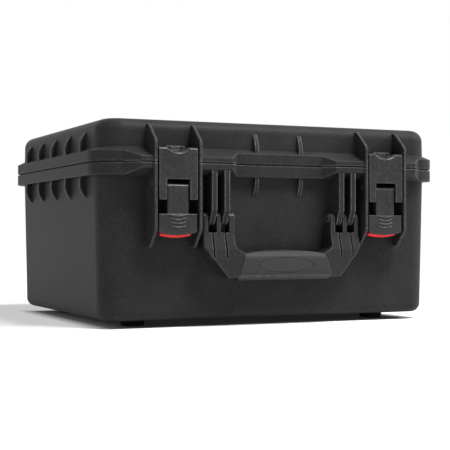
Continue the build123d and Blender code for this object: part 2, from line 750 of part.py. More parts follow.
# Latches: an over-centre lever on the base pulls a hook plate down over the lid's catch
lever_back = lever_y + tongue_thickness - tongue_back_inset
release_y = -grip_plate_front + grip_plate_depth
for side, word in sides:
    middle = side * latch_x
    half = plate_width / 2
    top = parting_z + plate_top
    leg_end = link_z - link_boss_radius - leg_below_boss

    # Draw plate: a hook at the top, a notch for the thumb and two legs
    with BuildPart() as draw_plate:
        with BuildSketch(Plane.XZ.offset(plate_y - plate_thickness)):
            with Locations((middle, (top + leg_end) / 2)):
                Rectangle(plate_width, top - leg_end)
            with Locations((middle, (leg_end + parting_z - window_top) / 2)):
                Rectangle(window_width, parting_z - window_top - leg_end, mode=Mode.SUBTRACT)
        extrude(amount=plate_thickness)
        leg_corners = draw_plate.edges().filter_by(Axis.Y).group_by(Axis.Z)[0]
        fillet(leg_corners.sort_by(Axis.X)[0], leg_corner)
        leg_corners = draw_plate.edges().filter_by(Axis.Y).group_by(Axis.Z)[0]
        fillet(leg_corners.sort_by(Axis.X)[-1], leg_corner)
        with BuildSketch(Plane.YZ.offset(middle - half)):
            hook = [
                (-plate_y, top),
                (hook_nose_y, top),
                (hook_nose_y, top - hook_height),
                (-plate_y, top - hook_height),
            ]
            Polygon(*hook, align=None)
        extrude(amount=plate_width)
        # The notch runs out into rounded shoulders
        with BuildSketch(Plane.XZ) as notch:
            with BuildLine():
                arc = ThreePointArc(
                    (middle - notch_width / 2, top),
                    (middle, top - notch_depth),
                    (middle + notch_width / 2, top),
                )
                Polyline(
                    arc @ 1,
                    (middle + half, top),
                    (middle + half, top + notch_depth),
                    (middle - half, top + notch_depth),
                    (middle - half, top),
                    arc @ 0,
                )
            make_face()
            shoulders = [
                notch.vertices().sort_by_distance((middle + end * notch_width / 2, top))[0]
                for end in (-1, 1)
            ]
            fillet(shoulders, notch_shoulder)
        extrude(amount=case_depth, mode=Mode.SUBTRACT)
        front = draw_plate.faces().filter_by(Axis.Y).sort_by(Axis.Y)[0]
        crest = front.edges().filter_by(lambda edge: edge.center().Z > top - hook_height)
        crest = crest.filter_by(Axis.Z, reverse=True)
        fillet(crest, plate_round)
        # Bosses behind the legs hold the link pin
        leg_planes = [Plane.YZ.offset(middle - half), Plane.YZ.offset(middle + window_width / 2)]
        with BuildSketch(*leg_planes):
            with Locations((link_y, link_z)):
                Circle(link_boss_radius)
            with Locations(((link_y - plate_y) / 2, link_z)):
                Rectangle(plate_y + link_y, 2 * link_boss_radius)
        extrude(amount=(plate_width - window_width) / 2)
        with BuildSketch(Plane.YZ.offset(middle)):
            with Locations((link_y, link_z)):
                Circle(link_pin_radius + pin_clearance)
        extrude(amount=plate_width, both=True, mode=Mode.SUBTRACT)
    draw_plate.part.label = f"draw_plate_{word}"
    export_step(draw_plate.part, f"parts/draw_plate_{word}.step")

    # Lever: a tongue on the pivot pin and a broad hollow grip plate below it
    with BuildPart() as grip_plate:
        with BuildSketch(Plane.XZ.offset(grip_plate_front - grip_plate_depth)):
            half = grip_plate_width / 2
            corner_z = grip_low_z + grip_plate_sag
            with BuildLine():
                Polyline(
                    (middle - half + grip_plate_corner, corner_z),
                    (middle - half, corner_z + grip_plate_corner),
                    (middle - half, grip_top_z),
                    (middle + half, grip_top_z),
                    (middle + half, corner_z + grip_plate_corner),
                    (middle + half - grip_plate_corner, corner_z),
                )
                ThreePointArc(
                    (middle + half - grip_plate_corner, corner_z),
                    (middle, grip_low_z),
                    (middle - half + grip_plate_corner, corner_z),
                )
            make_face()
        extrude(amount=grip_plate_depth)
        fillet(grip_plate.faces().sort_by(Axis.Y)[0].edges(), grip_plate_edge)

    with BuildPart() as lever:
        with BuildSketch(Plane.YZ.offset(middle)):
            tongue_high = parting_z - tongue_top
            tongue = [
                (-tongue_front, grip_top_z - grip_wall),
                (-tongue_front, tongue_high - tongue_round),
                (-tongue_front + tongue_round, tongue_high),
                (lever_y, tongue_high),
                (lever_back, lever_z),
                (lever_back, link_z - link_boss_radius),
                (-tongue_front + tongue_thickness, link_z - 2 * link_boss_radius),
                (-tongue_front + tongue_thickness, grip_top_z - grip_wall),
            ]
            Polygon(*tongue, align=None)
            with Locations((-tongue_front + tongue_round, tongue_high - tongue_round)):
                Circle(tongue_round)
            with Locations((lever_y, lever_z)):
                Circle(tongue_high - lever_z)
        extrude(amount=tongue_width / 2, both=True)
        # Its front corners are rounded over the whole height
        tongue_room = 2 * (tongue_round + tongue_thickness)
        with BuildSketch(Plane.XY.offset(grip_low_z)):
            with Locations((middle, -tongue_front + tongue_room / 2)):
                RectangleRounded(tongue_width, tongue_room, tongue_edge_radius)
        extrude(amount=parting_z - grip_low_z, mode=Mode.INTERSECT)
        add(grip_plate.part)
        # Hollow behind the grip plate, where the release slides
        with BuildSketch(Plane.XZ.offset(grip_plate_front - grip_plate_depth)):
            with Locations((middle, (grip_top_z + grip_low_z + grip_plate_sag) / 2)):
                pocket_height = grip_plate_height - grip_plate_sag - 2 * grip_wall
                Rectangle(grip_plate_width - 2 * grip_wall, pocket_height)
        extrude(amount=grip_plate_depth - grip_skin, mode=Mode.SUBTRACT)
        # Raised arcs that the thumb grips
        for index in range(grip_ridges):
            ridge_z = grip_top_z - grip_ridge_start - index * grip_ridge_pitch
            with BuildSketch(Plane.XZ.offset(grip_plate_front)):
                with BuildLine() as arc:
                    ThreePointArc(
                        (middle - grip_ridge_length / 2, ridge_z),
                        (middle, ridge_z - grip_ridge_sag),
                        (middle + grip_ridge_length / 2, ridge_z),
                    )
                trace(arc.line, grip_ridge_width)
            extrude(amount=grip_ridge_height)
        for y, z, radius in (
            (lever_y, lever_z, lever_pin_radius),
            (link_y, link_z, link_pin_radius),
        ):
            with BuildSketch(Plane.YZ.offset(middle)):
                with Locations((y, z)):
                    Circle(radius + pin_clearance)
            extrude(amount=tongue_width, both=True, mode=Mode.SUBTRACT)
    lever.part.label = f"latch_lever_{word}"
    export_step(lever.part, f"parts/latch_lever_{word}.step")

    # Red release that slides up into the grip plate
    with BuildPart() as release:
        half = grip_plate_width / 2 - release_side
        low = grip_low_z - release_drop
        high = grip_top_z - grip_wall
        release_back = -release_y - release_gap - release_thickness
        with BuildSketch(Plane.XZ.offset(release_back)):
            with BuildLine():
                Polyline(
                    (middle - half, low + grip_plate_sag),
                    (middle - half, high),
                    (middle + half, high),
                    (middle + half, low + grip_plate_sag),
                )
                ThreePointArc(
                    (middle + half, low + grip_plate_sag),
                    (middle, low),
                    (middle - half, low + grip_plate_sag),
                )
            make_face()
        extrude(amount=release_thickness)
        body_low = grip_low_z + grip_plate_sag + grip_wall + release_gap
        body_high = grip_top_z - grip_wall - release_gap - release_travel
        with BuildSketch(Plane.XZ.offset(release_back)):
            with Locations((middle, (body_low + body_high) / 2)):
                Rectangle(grip_plate_width - 2 * grip_wall - 2 * release_gap, body_high - body_low)
        extrude(amount=release_thickness + grip_plate_depth - grip_skin)
    release.part.label = f"release_{word}"
    export_step(release.part, f"parts/release_{word}.step")

    for name, y, z, radius, length in (
        ("lever_pin", lever_y, lever_z, lever_pin_radius, fin_gap + 2 * fin_thickness),
        ("link_pin", link_y, link_z, link_pin_radius, plate_width),
    ):
        with BuildPart() as pin:
            with BuildSketch(Plane.YZ.offset(middle)):
                with Locations((y, z)):
                    Circle(radius)
            extrude(amount=length / 2, both=True)
            chamfer(pin.edges().filter_by(GeomType.CIRCLE), pin_edge)
        pin.part.label = f"{name}_{word}"
        export_step(pin.part, f"parts/{name}_{word}.step")
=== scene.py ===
# %% [markdown]
# A moulded transport case is mostly one colour, so its look comes from three things:
# the grain of the moulding, the soft light along its rounded edges, and a few pieces
# that are not hard plastic, such as foam, rubber and steel. The solid model gives every
# hard piece at its real size. This lesson gives each piece its finish, models the seal
# and the foam again as soft things, and adds two details too fine for the solids.

import math

import bmesh
import bpy
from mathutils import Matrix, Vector


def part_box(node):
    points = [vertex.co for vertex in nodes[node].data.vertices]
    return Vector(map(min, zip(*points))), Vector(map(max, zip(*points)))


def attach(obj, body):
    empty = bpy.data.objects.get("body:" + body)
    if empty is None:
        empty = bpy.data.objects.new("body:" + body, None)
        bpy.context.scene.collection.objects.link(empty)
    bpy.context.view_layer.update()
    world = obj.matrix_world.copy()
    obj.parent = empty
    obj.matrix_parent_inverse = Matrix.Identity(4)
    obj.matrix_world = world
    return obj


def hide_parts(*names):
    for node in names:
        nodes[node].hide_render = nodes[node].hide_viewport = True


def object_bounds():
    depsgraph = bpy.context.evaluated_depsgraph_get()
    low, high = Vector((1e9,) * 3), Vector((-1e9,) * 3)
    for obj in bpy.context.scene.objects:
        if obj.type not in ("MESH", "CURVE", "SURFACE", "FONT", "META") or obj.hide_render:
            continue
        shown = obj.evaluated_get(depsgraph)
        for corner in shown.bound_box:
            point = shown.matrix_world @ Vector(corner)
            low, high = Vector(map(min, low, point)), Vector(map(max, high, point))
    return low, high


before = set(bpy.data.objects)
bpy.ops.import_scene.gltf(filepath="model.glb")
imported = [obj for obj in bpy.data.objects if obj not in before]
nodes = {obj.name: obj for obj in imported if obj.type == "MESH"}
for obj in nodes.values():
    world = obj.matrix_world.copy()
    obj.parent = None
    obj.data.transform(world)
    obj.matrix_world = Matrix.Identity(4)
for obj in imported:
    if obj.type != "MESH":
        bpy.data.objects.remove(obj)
cad_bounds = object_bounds()
MM = 0.001

# %% [markdown]
# The camera stands low in front of the left corner. Its axis is level, so the upright
# edges of the case stay upright in the picture, where a tilt would make them lean. The
# horizon lies a little below the middle of the picture, so the lens is shifted up by as
# much, as on a view camera.

# %% Camera
VIEW_PLACE = (-0.5751, -1.2892, 0.1006)
VIEW_TURN = math.radians(-24.5)
LENS_MM = 91.75
SENSOR_MM = 36.0
PICTURE_SIDE = 450
HORIZON_ROW = 232.75

camera_data = bpy.data.cameras.new("view")
camera_data.lens = LENS_MM
camera_data.sensor_width = SENSOR_MM
camera_data.shift_y = (HORIZON_ROW - PICTURE_SIDE / 2) / PICTURE_SIDE
camera = bpy.data.objects.new("view", camera_data)
camera.location = VIEW_PLACE
camera.rotation_euler = (math.pi / 2, 0, VIEW_TURN)
bpy.context.scene.collection.objects.link(camera)
bpy.context.scene.camera = camera
bpy.context.scene.view_settings.view_transform = "Standard"
print("camera at", tuple(camera.location), "shift", round(camera_data.shift_y, 4))

# %% [markdown]
# Node trees are easier to read when one short helper adds a node and sets its inputs.
# A value that is a socket is linked, and anything else is written into the input. A few
# more helpers name the arithmetic that every finish uses. Blender's Mix node has inputs
# of several kinds under the same names, so its colour inputs are taken by number.

# %% Node helpers
MIX_SHARE, MIX_LOW, MIX_HIGH, MIX_RESULT = 0, 6, 7, 2


def add(tree, kind, inputs=None, **settings):
    """A node in a tree, with its settings and inputs; a socket among the inputs is linked."""
    made = tree.nodes.new(kind)
    for name, value in settings.items():
        setattr(made, name, value)
    for name, value in (inputs or {}).items():
        if isinstance(value, bpy.types.NodeSocket):
            tree.links.new(value, made.inputs[name])
        else:
            made.inputs[name].default_value = value
    return made


def maths(tree, operation, first, second=0.0, third=0.0):
    """One step of arithmetic on numbers or sockets."""
    return add(tree, "ShaderNodeMath", {0: first, 1: second, 2: third}, operation=operation).outputs[0]


def rescale(tree, value, from_low, from_high, to_low=0.0, to_high=1.0, **settings):
    """A value spread from one range to another, and held inside it."""
    ranges = {0: value, 1: from_low, 2: from_high, 3: to_low, 4: to_high}
    return add(tree, "ShaderNodeMapRange", ranges, **settings).outputs[0]


def weighted(tree, first, share, second):
    """A share of one value and the rest of another."""
    rest = maths(tree, "MULTIPLY", second, 1.0 - share)
    return maths(tree, "MULTIPLY_ADD", first, share, rest)


def varied(tree, value, middle, spread):
    """A number that a value between zero and one moves about its middle."""
    return maths(tree, "MULTIPLY_ADD", value, spread, middle - spread / 2)


def blend_colours(tree, share, low, high):
    """A colour between two others, each a socket or its red, green and blue."""
    ends = [end if isinstance(end, bpy.types.NodeSocket) else (*end, 1.0) for end in (low, high)]
    inputs = {MIX_SHARE: share, MIX_LOW: ends[0], MIX_HIGH: ends[1]}
    return add(tree, "ShaderNodeMix", inputs, data_type="RGBA").outputs[MIX_RESULT]


print("node helpers ready")

# %% [markdown]
# The case stands on a white sweep. White that comes from strong lamps would wash out
# the black plastic, so the lamps stay at a plain level, and the floor and the sky turn
# white only for rays that come from the camera, a mirror or glass. The floor's lift is
# held back in a rectangle the size of the case's footprint. This paints the outline of
# the one dark shadow under the case, and the shade inside it comes from the lamps. The
# lift grows towards the horizon, so that floor and sky meet without a line. Distances
# are in metres.

# %% Rays that see the white
def seen_directly(tree):
    """One for camera, mirror and glass rays, and zero for the rays that carry soft light."""
    path = add(tree, "ShaderNodeLightPath")
    direct = maths(tree, "ADD", path.outputs["Is Camera Ray"], path.outputs["Is Glossy Ray"])
    every = maths(tree, "ADD", direct, path.outputs["Is Transmission Ray"])
    return maths(tree, "MINIMUM", every, 1.0)


print("direct rays ready")

# %% Finish of the floor
FLOOR_COLOUR = (0.86, 0.86, 0.86)
LIFT_UNDER_CASE = 0.012
LIFT_BESIDE_CASE = 0.50
LIFT_FAR_AWAY = 1.0
LIFT_GROWS_FROM = 0.2
LIFT_GROWS_TO = 1.6
SHADOW_INSET = (0.014, 0.030)
SHADOW_FADE = 0.012
base_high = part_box("base_shell")[1]

floor_finish = bpy.data.materials.new("studio_floor")
floor_finish.use_nodes = True
floor_tree = floor_finish.node_tree
floor_shader = floor_tree.nodes["Principled BSDF"]
floor_shader.inputs["Base Color"].default_value = (*FLOOR_COLOUR, 1.0)
floor_shader.inputs["Roughness"].default_value = 0.9
floor_shader.inputs["Specular IOR Level"].default_value = 0.0
floor_shader.inputs["Emission Color"].default_value = (1.0, 1.0, 1.0, 1.0)
spot = add(floor_tree, "ShaderNodeTexCoord").outputs["Object"]
spot_parts = add(floor_tree, "ShaderNodeSeparateXYZ", {0: spot}).outputs
past_side, past_end = [
    maths(
        floor_tree, "SUBTRACT", maths(floor_tree, "ABSOLUTE", spot_parts[axis]),
        base_high[axis] - SHADOW_INSET[axis],
    )
    for axis in (0, 1)
]
outside = maths(floor_tree, "MAXIMUM", past_side, past_end)
# Painted shadow: the white glow is held back in the footprint of the case.
lift_with_painted_shadow = rescale(floor_tree, outside, -SHADOW_FADE, SHADOW_FADE, LIFT_UNDER_CASE, LIFT_BESIDE_CASE)
far_lift = rescale(
    floor_tree, outside, LIFT_GROWS_FROM, LIFT_GROWS_TO, 0.0, LIFT_FAR_AWAY - LIFT_BESIDE_CASE
)
lift = maths(floor_tree, "ADD", lift_with_painted_shadow, far_lift)
floor_glow = maths(floor_tree, "MULTIPLY", seen_directly(floor_tree), lift)
floor_tree.links.new(floor_glow, floor_shader.inputs["Emission Strength"])
print("floor lift", LIFT_UNDER_CASE, "to", LIFT_FAR_AWAY)

# %% Floor and sky
FLOOR_SIDE = 12.0
SKY_LIGHT = 0.045

half = FLOOR_SIDE / 2
floor_mesh = bpy.data.meshes.new("studio_floor")
floor_mesh.from_pydata(
    [(-half, -half, 0), (half, -half, 0), (half, half, 0), (-half, half, 0)], [], [(0, 1, 2, 3)]
)
floor_mesh.materials.append(floor_finish)
floor = bpy.data.objects.new("studio_floor", floor_mesh)
bpy.context.scene.collection.objects.link(floor)

sky = bpy.data.worlds.new("studio_sky")
bpy.context.scene.world = sky
sky.use_nodes = True
sky_tree = sky.node_tree
sky_shader = sky_tree.nodes["Background"]
sky_shader.inputs["Color"].default_value = (1.0, 1.0, 1.0, 1.0)
sky_level = maths(sky_tree, "MULTIPLY_ADD", seen_directly(sky_tree), 1.0 - SKY_LIGHT, SKY_LIGHT)
sky_tree.links.new(sky_level, sky_shader.inputs["Strength"])
print("floor", FLOOR_SIDE, "m, sky light", SKY_LIGHT)

# %% [markdown]
# Black plastic shows its shape by what it reflects, so each lamp is a soft panel. A
# strong one high in front lights the lid and lets the ledges shade the wall below them.
# A key panel far to the right grazes the front, which darkens the left side of every
# rib, and a small one on the left keeps the end wall from going black.

# %% Lamps
LAMPS = (
    ("lamp_overhead", (0.5, -0.95, 1.8), (0.8, 0.4), 46.0),
    ("lamp_key", (1.8, -0.7, 1.2), (0.8, 0.9), 20.0),
    ("lamp_left", (-1.8, -0.6, 0.6), (0.4, 0.6), 5.0),
)
CASE_MIDDLE = (Vector(cad_bounds[0]) + Vector(cad_bounds[1])) / 2
for name, place, panel, power in LAMPS:
    lamp_data = bpy.data.lights.new(name, "AREA")
    lamp_data.shape = "RECTANGLE"
    lamp_data.size, lamp_data.size_y = panel
    lamp_data.energy = power
    lamp = bpy.data.objects.new(name, lamp_data)
    lamp.location = place
    lamp.rotation_euler = (CASE_MIDDLE - Vector(place)).to_track_quat("-Z", "Y").to_euler()
    bpy.context.scene.collection.objects.link(lamp)
    print(name, power, "W")

# %% [markdown]
# Every finish starts the same way. Noise in object coordinates gives a grain of a real
# size in millimetres, a second, coarser noise gives the slow changes of tone that flow
# marks and handling leave, and a bevel in the shading rounds the moulded edges, which
# are never razor sharp. Those edges are painted a little lighter, partly as wear from
# handling and partly as a painted highlight. Rays sent a short way into the plastic find
# them, because only near an outer edge do they soon come out again.

# %% Finish helpers
WEAR_AND_HIGHLIGHT_REACH = 2.2
CLEAR_ON_WALL = 0.88
CLEAR_AT_EDGE = 0.55
NOISE_MIDDLE = (0.3, 0.7)


def start_finish(name):
    """A material with its node tree, its shader and the object's own coordinates."""
    finish = bpy.data.materials.new(name)
    finish.use_nodes = True
    tree = finish.node_tree
    place = add(tree, "ShaderNodeTexCoord").outputs["Object"]
    return finish, tree, tree.nodes["Principled BSDF"], place


def grain(tree, place, size_mm, detail=2.0, rough=0.5, stretch=None):
    """Noise whose lumps are about size_mm across."""
    if stretch:
        place = add(tree, "ShaderNodeMapping", {"Vector": place, "Scale": stretch}).outputs[0]
    inputs = {"Vector": place, "Scale": 1.0 / (size_mm * MM), "Detail": detail, "Roughness": rough}
    return add(tree, "ShaderNodeTexNoise", inputs).outputs[0]


def bump(tree, height, depth_mm, strength, normal=None):
    """A bumped normal from a height between zero and one."""
    inputs = {"Height": height, "Distance": depth_mm * MM, "Strength": strength}
    if normal is not None:
        inputs["Normal"] = normal
    return add(tree, "ShaderNodeBump", inputs).outputs[0]


def soft_edges(tree, radius_mm):
    """The normal of softly rounded edges."""
    return add(tree, "ShaderNodeBevel", {"Radius": radius_mm * MM}, samples=6).outputs[0]


def worn_and_highlit_edges(tree, radius_mm):
    """A mask that is one along the outer edges, found by short rays inside the piece, where wear and a
    painted highlight go.
    """
    inside = add(
        tree, "ShaderNodeAmbientOcclusion", {"Distance": WEAR_AND_HIGHLIGHT_REACH * radius_mm * MM},
        samples=8, inside=True, only_local=True,
    )
    return rescale(tree, inside.outputs["AO"], CLEAR_ON_WALL, CLEAR_AT_EDGE)


def connect(tree, shader, colour, roughness, normal):
    """Links the three sockets that every finish varies over its surface."""
    tree.links.new(colour, shader.inputs["Base Color"])
    tree.links.new(roughness, shader.inputs["Roughness"])
    tree.links.new(normal, shader.inputs["Normal"])


print("finish helpers ready")

# %% [markdown]
# Most of the case is moulded plastic or rubber, so one recipe makes six finishes. Fine
# and coarse grain mix to a speckle. The speckle and the slow flow marks mix to one tone,
# and that tone drives the colour and the shine together, because a dry patch of a
# moulding is both paler and duller. The lighter edges, partly wear and partly a painted
# highlight, are broken up by the coarse grain.

# %% Moulded plastic
COARSE_PER_FINE = 3.1
FLOW_MARKS_MM = 34.0
FINE_SHARE = 0.45
FLOW_SHARE = 0.30
TONE_RANGE = (0.38, 0.62)
WEAR_AND_HIGHLIGHT_RANGE = (0.35, 0.6)
WEAR_AND_HIGHLIGHT_SHARES = (0.25, 0.8)
DULLNESS_SPREAD = 0.16
FLOW_HEIGHT = 0.3
GRAIN_STRENGTH = 0.9


def moulded_plastic(name, dark, light, edge_wear_and_highlight, roughness, grain_mm, grain_depth, edge_mm, specular):
    """Grained moulded plastic: fine grain, slow tone changes, and outer edges painted lighter, partly
    as wear and partly as a highlight.
    """
    finish, tree, shader, place = start_finish(name)
    fine = grain(tree, place, grain_mm, detail=3.0, rough=0.6)
    coarse = grain(tree, place, grain_mm * COARSE_PER_FINE)
    flow = grain(tree, place, FLOW_MARKS_MM, detail=3.0)
    speckle = weighted(tree, fine, FINE_SHARE, coarse)
    tone = weighted(tree, flow, FLOW_SHARE, speckle)
    colour = blend_colours(tree, rescale(tree, tone, *TONE_RANGE), dark, light)
    wear_and_highlight = maths(
        tree, "MULTIPLY", worn_and_highlit_edges(tree, edge_mm), rescale(tree, coarse, *WEAR_AND_HIGHLIGHT_RANGE, *WEAR_AND_HIGHLIGHT_SHARES)
    )
    # Painted highlight, partly wear: the outer edges are blended towards a lighter colour.
    colour = blend_colours(tree, wear_and_highlight, colour, edge_wear_and_highlight)
    dullness = varied(tree, tone, roughness, DULLNESS_SPREAD)
    height = maths(tree, "ADD", speckle, maths(tree, "MULTIPLY", flow, FLOW_HEIGHT))
    normal = bump(tree, height, grain_depth, GRAIN_STRENGTH, soft_edges(tree, edge_mm))
    connect(tree, shader, colour, dullness, normal)
    shader.inputs["Specular IOR Level"].default_value = specular
    return finish


print("moulded plastic ready")

# %% [markdown]
# The shells are moulded in a spark-eroded tool that leaves a fine, dry, leather-like
# grain. The latches and the handle frame come from smoother tools, so they are a touch
# glossier and their grain is a close speckle. The handle's grip is a soft overmoulding
# that is duller than they are, and the feet and the seal are plain dull rubber.

# %% Black plastics and rubbers
case_shell = moulded_plastic(
    "case_shell", dark=(0.0165, 0.0165, 0.0171), light=(0.0320, 0.0320, 0.0328),
    edge_wear_and_highlight=(0.190, 0.190, 0.191), roughness=0.52, grain_mm=0.75, grain_depth=0.20,
    edge_mm=1.0, specular=0.09,
)
latch_plastic = moulded_plastic(
    "latch_plastic", dark=(0.0120, 0.0120, 0.0125), light=(0.034, 0.034, 0.035),
    edge_wear_and_highlight=(0.120, 0.120, 0.121), roughness=0.30, grain_mm=1.10, grain_depth=0.24,
    edge_mm=0.8, specular=0.24,
)
handle_plastic = moulded_plastic(
    "handle_plastic", dark=(0.0125, 0.0125, 0.0130), light=(0.023, 0.023, 0.0238),
    edge_wear_and_highlight=(0.075, 0.075, 0.076), roughness=0.32, grain_mm=0.60, grain_depth=0.12,
    edge_mm=1.2, specular=0.20,
)
grip_rubber = moulded_plastic(
    "grip_rubber", dark=(0.0125, 0.0125, 0.0130), light=(0.021, 0.021, 0.0217),
    edge_wear_and_highlight=(0.024, 0.024, 0.0245), roughness=0.60, grain_mm=0.45, grain_depth=0.06,
    edge_mm=0.9, specular=0.34,
)
foot_rubber = moulded_plastic(
    "foot_rubber", dark=(0.006, 0.006, 0.0063), light=(0.0115, 0.0115, 0.012),
    edge_wear_and_highlight=(0.03, 0.03, 0.03), roughness=0.78, grain_mm=0.9, grain_depth=0.10,
    edge_mm=0.8, specular=0.22,
)
seal_rubber = moulded_plastic(
    "seal_rubber", dark=(0.008, 0.008, 0.0084), light=(0.014, 0.014, 0.0145),
    edge_wear_and_highlight=(0.028, 0.028, 0.028), roughness=0.70, grain_mm=0.35, grain_depth=0.05,
    edge_mm=0.4, specular=0.28,
)
print("six black finishes")

# %% [markdown]
# The release is the one bright piece: red acetal, moulded smooth so that it slides. It
# has hardly any grain, a soft gloss, and slow changes between two close reds. It sits in
# the shade under the latch, so a faint glow of the same red paints light onto it that no
# lamp gives, where a lighter base colour alone would turn pink.

# %% Red release
DEEP_RED = (0.84, 0.008, 0.010)
BRIGHT_RED = (0.95, 0.014, 0.016)
WORN_AND_LIT_RED = (0.86, 0.07, 0.05)
PAINTED_LIGHT_RED = (1.0, 0.015, 0.018)
RED_EDGE_MM = 0.5
RED_WEAR_AND_HIGHLIGHT_SHARE = 0.35

release_red, red_tree, red_shader, red_place = start_finish("release_red")
red_slow = grain(red_tree, red_place, size_mm=6.0)
red_fine = grain(red_tree, red_place, size_mm=0.35)
red_colour = blend_colours(red_tree, rescale(red_tree, red_slow, *NOISE_MIDDLE), DEEP_RED, BRIGHT_RED)
# The edges are painted a lighter red, partly as wear and partly as a painted highlight.
red_wear_and_highlight = maths(red_tree, "MULTIPLY", worn_and_highlit_edges(red_tree, RED_EDGE_MM), RED_WEAR_AND_HIGHLIGHT_SHARE)
red_colour = blend_colours(red_tree, red_wear_and_highlight, red_colour, WORN_AND_LIT_RED)
red_dullness = varied(red_tree, red_fine, middle=0.32, spread=0.12)
red_edges = soft_edges(red_tree, RED_EDGE_MM)
red_normal = bump(red_tree, red_fine, depth_mm=0.02, strength=0.6, normal=red_edges)
connect(red_tree, red_shader, red_colour, red_dullness, red_normal)
# Painted light: a faint red glow lifts the release out of the shade under the latch.
red_shader.inputs["Emission Color"].default_value = (*PAINTED_LIGHT_RED, 1.0)
red_shader.inputs["Emission Strength"].default_value = 0.10
print("red release")

# %% [markdown]
# The pins are drawn steel wire, so fine scratches run along their length, which is X on
# every pin of this case. Stretching the noise along X draws them. The hinge pins are
# bright, and the latch pins are blackened so that their ends do not catch the eye.

# %% Steel pins
SCRATCH_STRETCH = (0.04, 1.0, 1.0)
PIN_EDGE_MM = 0.3


def drawn_steel(name, dark, light):
    """Drawn wire: scratches along X, and a slow change of tone."""
    finish, tree, shader, place = start_finish(name)
    scratches = grain(tree, place, size_mm=0.25, detail=3.0, rough=0.6, stretch=SCRATCH_STRETCH)
    slow = grain(tree, place, size_mm=5.0)
    colour = blend_colours(tree, rescale(tree, slow, *NOISE_MIDDLE), dark, light)
    dullness = varied(tree, scratches, middle=0.31, spread=0.22)
    normal = bump(tree, scratches, depth_mm=0.03, strength=0.7, normal=soft_edges(tree, PIN_EDGE_MM))
    connect(tree, shader, colour, dullness, normal)
    shader.inputs["Metallic"].default_value = 1.0
    return finish


pin_steel = drawn_steel("pin_steel", (0.42, 0.42, 0.43), (0.56, 0.56, 0.57))
pin_black = drawn_steel("pin_black", (0.020, 0.020, 0.021), (0.040, 0.040, 0.042))
print("two steels")

# %% [markdown]
# Foam is a mass of open cells about a millimetre wide. A cell pattern gives the pits,
# and a sheen stands for the light that catches on the cut walls of the cells.

# %% Foam
CELL_MM = 1.3
FOAM_DARK = (0.018, 0.018, 0.020)
FOAM_LIGHT = (0.055, 0.055, 0.060)
PIT_RANGE = (0.1, 0.7)
PIT_SHARE = 0.5
FOAM_TONE_RANGE = (0.2, 0.8)
FINE_HEIGHT = 0.5

foam_finish, foam_tree, foam_shader, foam_place = start_finish("foam_cells")
cells = add(
    foam_tree, "ShaderNodeTexVoronoi", {"Vector": foam_place, "Scale": 1.0 / (CELL_MM * MM)}
).outputs["Distance"]
foam_slow = grain(foam_tree, foam_place, size_mm=26.0, detail=3.0)
foam_fine = grain(foam_tree, foam_place, size_mm=0.6, detail=3.0)
pits = rescale(foam_tree, cells, *PIT_RANGE)
foam_tone = weighted(foam_tree, pits, PIT_SHARE, foam_slow)
foam_share = rescale(foam_tree, foam_tone, *FOAM_TONE_RANGE)
foam_colour = blend_colours(foam_tree, foam_share, FOAM_DARK, FOAM_LIGHT)
foam_height = maths(foam_tree, "ADD", pits, maths(foam_tree, "MULTIPLY", foam_fine, FINE_HEIGHT))
foam_rough = varied(foam_tree, foam_fine, middle=0.93, spread=0.1)
foam_normal = bump(foam_tree, foam_height, depth_mm=0.35, strength=0.9)
connect(foam_tree, foam_shader, foam_colour, foam_rough, foam_normal)
foam_shader.inputs["Sheen Weight"].default_value = 0.25
foam_shader.inputs["Sheen Roughness"].default_value = 0.6
foam_shader.inputs["Specular IOR Level"].default_value = 0.15
print("foam cells", CELL_MM, "mm")

# %% [markdown]
# Each hard piece already has the right shape, so it only needs its finish. The first
# words of a piece's name say what it is made of, which saves a long list of names. The
# seal and the foams get theirs here too, although softer pieces take their place below.

# %% Give the pieces their finishes
FINISHES = (
    ("base_shell", case_shell), ("lid_shell", case_shell), ("draw_plate", latch_plastic),
    ("latch_lever", latch_plastic), ("release", release_red), ("handle_frame", handle_plastic),
    ("handle_grip", grip_rubber), ("foot", foot_rubber), ("rim_seal", seal_rubber),
    ("base_foam", foam_finish), ("lid_foam", foam_finish),
    ("handle_pin", handle_plastic), ("lever_pin", pin_black), ("link_pin", pin_black),
    ("hinge_pin", pin_steel),
)
for name, piece in nodes.items():
    finish = next(found for start, found in FINISHES if name.startswith(start))
    piece.data.materials.clear()
    piece.data.materials.append(finish)
print("finished", len(nodes), "pieces")

# %% [markdown]
# What repeats, or follows a path, is made by Geometry Nodes. Short helpers start a tree
# with named inputs, end it with real copies and a finish, and turn what it makes into a
# plain mesh that can be exported.

# %% Start and end a tree
def start_tree(name, sizes, counts=()):
    """A tree with named inputs for its sizes, counts and finish, those inputs, and its end."""
    tree = bpy.data.node_groups.new(name, "GeometryNodeTree")
    kinds = {"Geometry": "Geometry", "Finish": "Material"}
    kinds.update({label: "Float" for label in sizes})
    kinds.update({label: "Int" for label in counts})
    for label, kind in kinds.items():
        tree.interface.new_socket(label, in_out="INPUT", socket_type=f"NodeSocket{kind}")
    tree.interface.new_socket("Geometry", in_out="OUTPUT", socket_type="NodeSocketGeometry")
    return tree, tree.nodes.new("NodeGroupInput").outputs, tree.nodes.new("NodeGroupOutput")


def end_tree(tree, shape, finish_socket, output):
    """Ends a tree with real copies and the finish."""
    real = add(tree, "GeometryNodeRealizeInstances", {"Geometry": shape})
    dressed = add(
        tree, "GeometryNodeSetMaterial", {"Geometry": real.outputs[0], "Material": finish_socket}
    )
    tree.links.new(dressed.outputs[0], output.inputs[0])


def combined(tree, **parts):
    """A vector from its X, Y and Z, where what isn't given is zero."""
    return add(tree, "ShaderNodeCombineXYZ", parts).outputs[0]


print("tree helpers ready")

